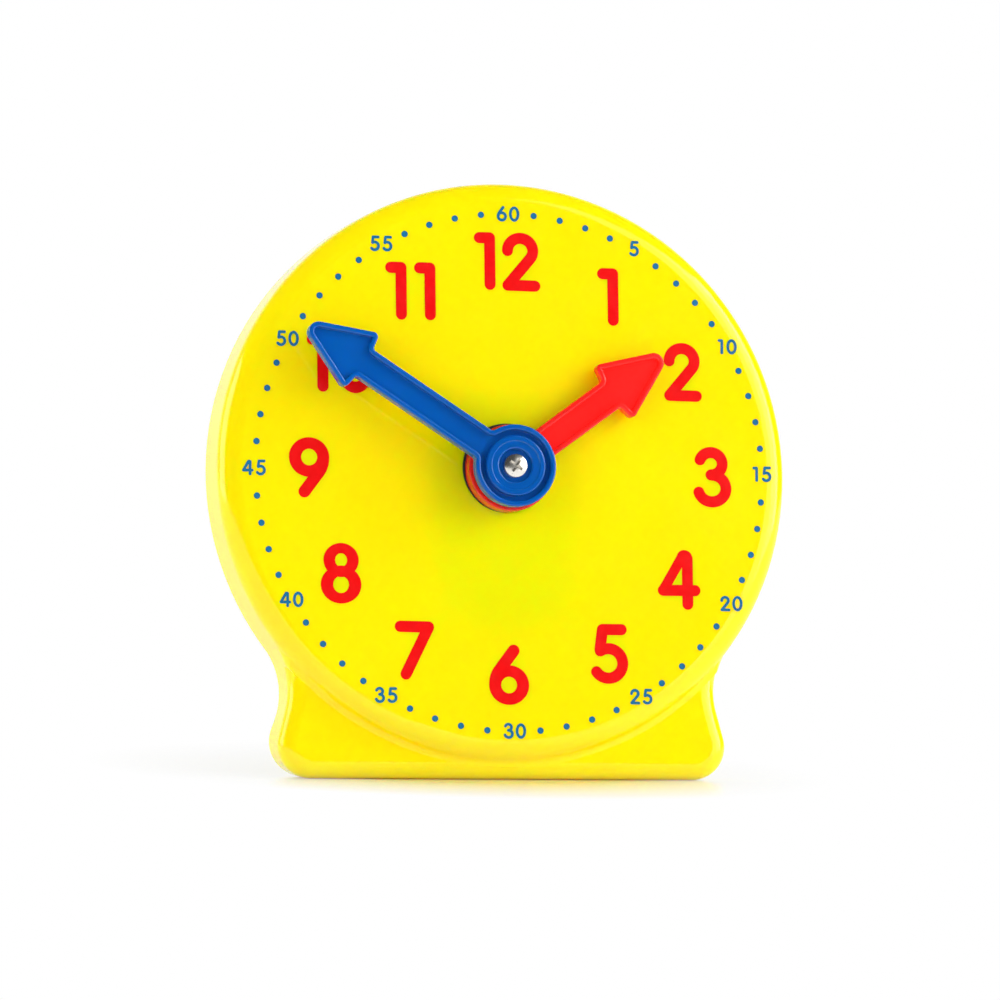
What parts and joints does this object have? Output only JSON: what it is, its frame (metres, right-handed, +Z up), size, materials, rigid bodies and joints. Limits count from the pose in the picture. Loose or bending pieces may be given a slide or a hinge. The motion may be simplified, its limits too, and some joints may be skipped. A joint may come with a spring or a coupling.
{
  "type": "teaching clock",
  "caption": "Geared teaching clock: round dial leaning back on a flared foot, with raised-rim arrow hands geared so that turning the minute hand drives the hour hand.",
  "frame": {"origin": "centre of the foot's flat bottom face", "axes": "+Z up, +X to the right seen from the front, front of the dial towards -Y; the dial leans back 7.2 degrees"},
  "size_m": [0.1146, 0.0295, 0.1167],
  "materials": {
    "yellow_abs": "glossy moulded",
    "red_abs": "glossy moulded",
    "blue_abs": "glossy moulded",
    "white_acetal": "natural satin",
    "black_fibre": "matt",
    "steel": "bright drawn",
    "nickel": "nickel plated"
  },
  "bodies": {
    "case": {"front_shell": "yellow_abs", "gear_cover": "yellow_abs", "idler_pin": "steel", "friction_washer": "black_fibre", "wave_washer": "steel", "cover_screw_1": "nickel", "cover_screw_2": "nickel", "cover_screw_3": "nickel", "cover_screw_4": "nickel"},
    "minute": {"minute_arbor": "white_acetal", "minute_hand": "blue_abs", "hand_screw": "nickel"},
    "idler": {"idler_gear": "white_acetal"},
    "hour": {"hour_wheel": "white_acetal", "hour_hand": "red_abs"}
  },
  "joints": [
    {"name": "minute_turn", "type": "hinge", "parent": "case", "child": "minute", "pos_m": [0, -0.00253, 0.06056], "axis": [0, 0.9921, -0.1253], "continuous": true},
    {"name": "idler_turn", "type": "hinge", "parent": "case", "child": "idler", "pos_m": [0, -0.00453, 0.04469], "axis": [0, 0.9921, -0.1253], "continuous": true},
    {"name": "hour_turn", "type": "hinge", "parent": "case", "child": "hour", "pos_m": [0, -0.00253, 0.06056], "axis": [0, 0.9921, -0.1253], "continuous": true}
  ],
  "couplings": [
    {"joint": "idler_turn", "follows": "minute_turn", "ratio": -0.33333},
    {"joint": "hour_turn", "follows": "minute_turn", "ratio": 0.083333}
  ]
}
